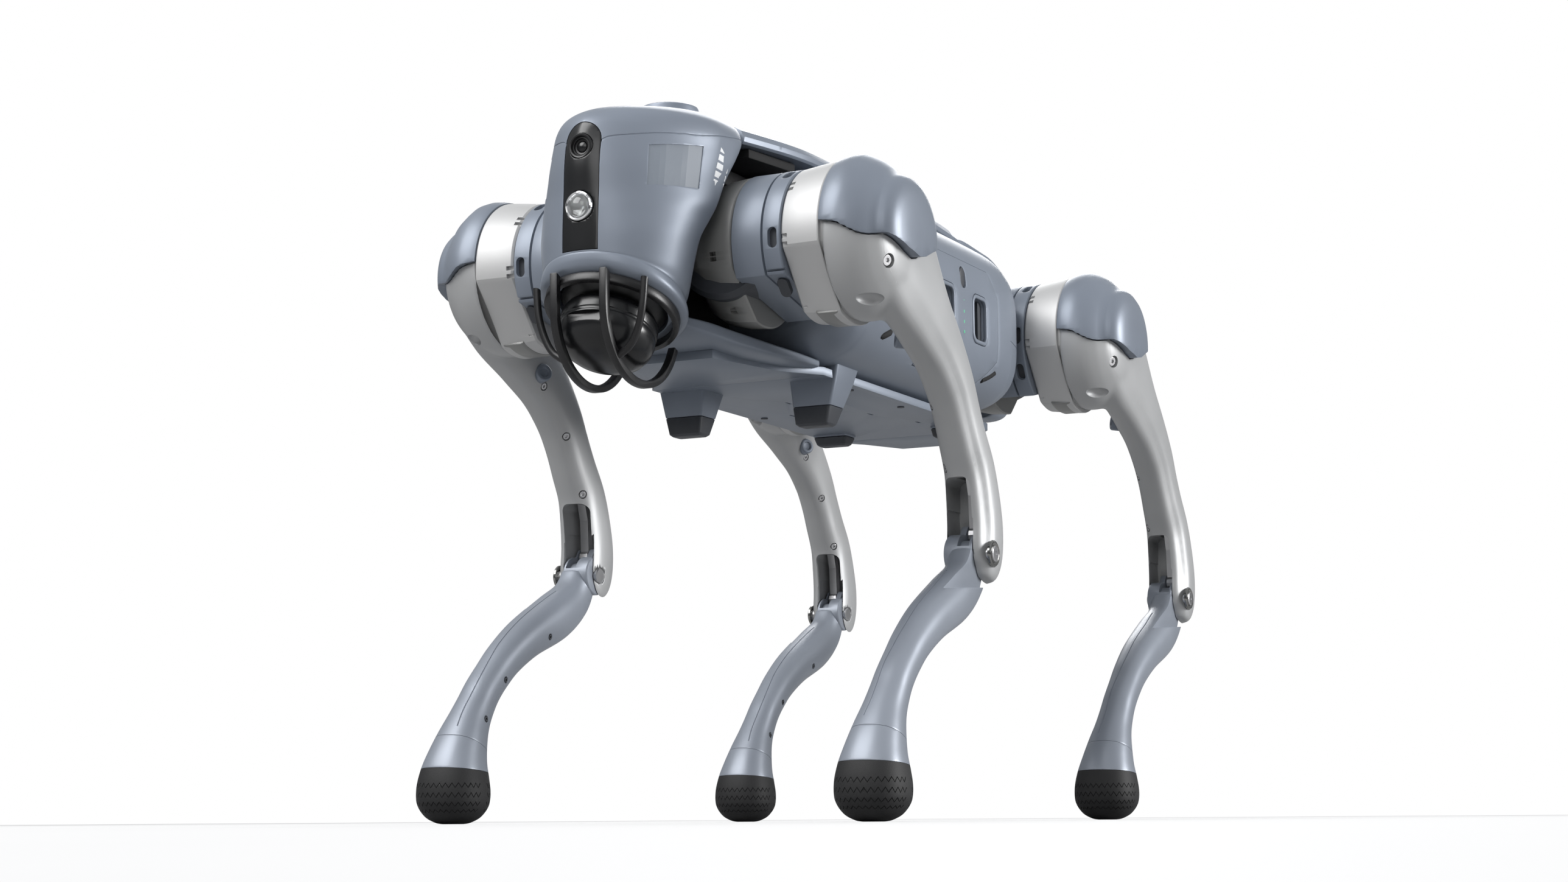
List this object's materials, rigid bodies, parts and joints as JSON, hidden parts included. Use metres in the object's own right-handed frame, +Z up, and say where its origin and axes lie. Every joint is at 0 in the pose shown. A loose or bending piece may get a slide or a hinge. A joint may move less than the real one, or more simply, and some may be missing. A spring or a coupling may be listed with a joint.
{
  "type": "quadruped robot dog",
  "caption": "Four-legged walking robot standing on bent legs, with rod-driven knees, a visor-like face, a caged sensor under the head, a side battery and belly pads.",
  "frame": {"origin": "on the ground under the middle of the bounding box", "axes": "+X to the front of the robot, +Y to its left, +Z up"},
  "size_m": [0.6559, 0.3276, 0.437],
  "materials": {
    "blue_grey": "satin",
    "silver": "satin metallic",
    "pale_blue": "satin",
    "black_plastic": "matte",
    "gloss_black": "gloss",
    "rubber": "matte",
    "steel": "brushed",
    "lamp": "clear",
    "dark_grey": "matte"
  },
  "bodies": {
    "trunk": {"trunk_shell": "blue_grey", "belly_pan": "blue_grey", "top_cover": "blue_grey", "tail_cover": "blue_grey", "head_shell": "blue_grey", "face_panel": "gloss_black", "camera_lens": "gloss_black", "headlamp": "lamp", "top_puck": "blue_grey", "lidar_guard": "black_plastic", "lidar_base": "black_plastic", "landing_pad_fl": "rubber", "landing_pad_fr": "rubber", "landing_pad_rl": "rubber", "landing_pad_rr": "rubber"},
    "lidar_rotor": {"lidar_rotor": "gloss_black"},
    "battery": {"battery_pack": "blue_grey"},
    "battery_latch_front": {"battery_latch_front": "dark_grey"},
    "battery_latch_rear": {"battery_latch_rear": "dark_grey"},
    "power_button": {"power_button": "dark_grey"},
    "hip_fl": {"hip_housing_fl": "blue_grey"},
    "thigh_fl": {"thigh_motor_drum_fl": "silver", "thigh_shell_fl": "silver", "hip_cap_fl": "blue_grey", "knee_pin_fl": "steel"},
    "calf_fl": {"calf_fl": "pale_blue", "ankle_socket_fl": "pale_blue", "foot_fl": "rubber"},
    "crank_fl": {"knee_crank_fl": "steel"},
    "rod_fl": {"knee_rod_fl": "steel"},
    "hip_fr": {"hip_housing_fr": "blue_grey"},
    "thigh_fr": {"thigh_motor_drum_fr": "silver", "thigh_shell_fr": "silver", "hip_cap_fr": "blue_grey", "knee_pin_fr": "steel"},
    "calf_fr": {"calf_fr": "pale_blue", "ankle_socket_fr": "pale_blue", "foot_fr": "rubber"},
    "crank_fr": {"knee_crank_fr": "steel"},
    "rod_fr": {"knee_rod_fr": "steel"},
    "hip_rl": {"hip_housing_rl": "blue_grey"},
    "thigh_rl": {"thigh_motor_drum_rl": "silver", "thigh_shell_rl": "silver", "hip_cap_rl": "blue_grey", "knee_pin_rl": "steel"},
    "calf_rl": {"calf_rl": "pale_blue", "ankle_socket_rl": "pale_blue", "foot_rl": "rubber"},
    "crank_rl": {"knee_crank_rl": "steel"},
    "rod_rl": {"knee_rod_rl": "steel"},
    "hip_rr": {"hip_housing_rr": "blue_grey"},
    "thigh_rr": {"thigh_motor_drum_rr": "silver", "thigh_shell_rr": "silver", "hip_cap_rr": "blue_grey", "knee_pin_rr": "steel"},
    "calf_rr": {"calf_rr": "pale_blue", "ankle_socket_rr": "pale_blue", "foot_rr": "rubber"},
    "crank_rr": {"knee_crank_rr": "steel"},
    "rod_rr": {"knee_rod_rr": "steel"}
  },
  "joints": [
    {"name": "lidar_spin", "type": "hinge", "parent": "trunk", "child": "lidar_rotor", "pos_m": [0.29228, 0, 0.28079], "axis": [-0.3872, 0, 0.922], "continuous": true},
    {"name": "battery_slide", "type": "slide", "parent": "trunk", "child": "battery", "axis": [0, 1, 0], "range_m": [0, 0.02]},
    {"name": "battery_latch_front_press", "type": "slide", "parent": "battery", "child": "battery_latch_front", "axis": [-1, 0, 0], "range_m": [0, 0.003], "stiffness_N_per_m": 400, "springref_m": -0.002},
    {"name": "battery_latch_rear_press", "type": "slide", "parent": "battery", "child": "battery_latch_rear", "axis": [1, 0, 0], "range_m": [0, 0.003], "stiffness_N_per_m": 400, "springref_m": -0.002},
    {"name": "power_button_press", "type": "slide", "parent": "battery", "child": "power_button", "axis": [0, -1, 0], "range_m": [0, 0.0015], "stiffness_N_per_m": 600, "springref_m": -0.001},
    {"name": "hip_abduction_fl", "type": "hinge", "parent": "trunk", "child": "hip_fl", "pos_m": [0.20277, 0.0465, 0.3425], "axis": [1, 0, 0], "range_deg": [-30, 30]},
    {"name": "thigh_swing_fl", "type": "hinge", "parent": "hip_fl", "child": "thigh_fl", "pos_m": [0.20277, 0.142, 0.3425], "axis": [0, 1, 0], "range_deg": [-123, 62]},
    {"name": "knee_bend_fl", "type": "hinge", "parent": "thigh_fl", "child": "calf_fl", "pos_m": [0.08677, 0.142, 0.1639], "axis": [0, 1, 0], "range_deg": [-76, 32]},
    {"name": "knee_crank_turn_fl", "type": "hinge", "parent": "thigh_fl", "child": "crank_fl", "pos_m": [0.20277, 0.142, 0.3425], "axis": [0, 1, 0], "range_deg": [-77, 33]},
    {"name": "knee_rod_pivot_fl", "type": "hinge", "parent": "crank_fl", "child": "rod_fl", "pos_m": [0.19359, 0.142, 0.3556], "axis": [0, 1, 0], "range_deg": [-33, 77]},
    {"name": "hip_abduction_fr", "type": "hinge", "parent": "trunk", "child": "hip_fr", "pos_m": [0.20277, -0.0465, 0.3425], "axis": [1, 0, 0], "range_deg": [-30, 30]},
    {"name": "thigh_swing_fr", "type": "hinge", "parent": "hip_fr", "child": "thigh_fr", "pos_m": [0.20277, -0.142, 0.3425], "axis": [0, 1, 0], "range_deg": [-123, 62]},
    {"name": "knee_bend_fr", "type": "hinge", "parent": "thigh_fr", "child": "calf_fr", "pos_m": [0.08677, -0.142, 0.1639], "axis": [0, 1, 0], "range_deg": [-76, 32]},
    {"name": "knee_crank_turn_fr", "type": "hinge", "parent": "thigh_fr", "child": "crank_fr", "pos_m": [0.20277, -0.142, 0.3425], "axis": [0, 1, 0], "range_deg": [-77, 33]},
    {"name": "knee_rod_pivot_fr", "type": "hinge", "parent": "crank_fr", "child": "rod_fr", "pos_m": [0.19359, -0.142, 0.3556], "axis": [0, 1, 0], "range_deg": [-33, 77]},
    {"name": "hip_abduction_rl", "type": "hinge", "parent": "trunk", "child": "hip_rl", "pos_m": [-0.18403, 0.0465, 0.3425], "axis": [1, 0, 0], "range_deg": [-30, 30]},
    {"name": "thigh_swing_rl", "type": "hinge", "parent": "hip_rl", "child": "thigh_rl", "pos_m": [-0.18403, 0.142, 0.3425], "axis": [0, 1, 0], "range_deg": [-33, 175]},
    {"name": "knee_bend_rl", "type": "hinge", "parent": "thigh_rl", "child": "calf_rl", "pos_m": [-0.30003, 0.142, 0.1639], "axis": [0, 1, 0], "range_deg": [-76, 32]},
    {"name": "knee_crank_turn_rl", "type": "hinge", "parent": "thigh_rl", "child": "crank_rl", "pos_m": [-0.18403, 0.142, 0.3425], "axis": [0, 1, 0], "range_deg": [-77, 33]},
    {"name": "knee_rod_pivot_rl", "type": "hinge", "parent": "crank_rl", "child": "rod_rl", "pos_m": [-0.19321, 0.142, 0.3556], "axis": [0, 1, 0], "range_deg": [-33, 77]},
    {"name": "hip_abduction_rr", "type": "hinge", "parent": "trunk", "child": "hip_rr", "pos_m": [-0.18403, -0.0465, 0.3425], "axis": [1, 0, 0], "range_deg": [-30, 30]},
    {"name": "thigh_swing_rr", "type": "hinge", "parent": "hip_rr", "child": "thigh_rr", "pos_m": [-0.18403, -0.142, 0.3425], "axis": [0, 1, 0], "range_deg": [-33, 175]},
    {"name": "knee_bend_rr", "type": "hinge", "parent": "thigh_rr", "child": "calf_rr", "pos_m": [-0.30003, -0.142, 0.1639], "axis": [0, 1, 0], "range_deg": [-76, 32]},
    {"name": "knee_crank_turn_rr", "type": "hinge", "parent": "thigh_rr", "child": "crank_rr", "pos_m": [-0.18403, -0.142, 0.3425], "axis": [0, 1, 0], "range_deg": [-77, 33]},
    {"name": "knee_rod_pivot_rr", "type": "hinge", "parent": "crank_rr", "child": "rod_rr", "pos_m": [-0.19321, -0.142, 0.3556], "axis": [0, 1, 0], "range_deg": [-33, 77]}
  ],
  "couplings": [
    {"joint": "knee_crank_turn_fl", "follows": "knee_bend_fl", "ratio": 1},
    {"joint": "knee_rod_pivot_fl", "follows": "knee_bend_fl", "ratio": -1},
    {"joint": "knee_crank_turn_fr", "follows": "knee_bend_fr", "ratio": 1},
    {"joint": "knee_rod_pivot_fr", "follows": "knee_bend_fr", "ratio": -1},
    {"joint": "knee_crank_turn_rl", "follows": "knee_bend_rl", "ratio": 1},
    {"joint": "knee_rod_pivot_rl", "follows": "knee_bend_rl", "ratio": -1},
    {"joint": "knee_crank_turn_rr", "follows": "knee_bend_rr", "ratio": 1},
    {"joint": "knee_rod_pivot_rr", "follows": "knee_bend_rr", "ratio": -1}
  ]
}
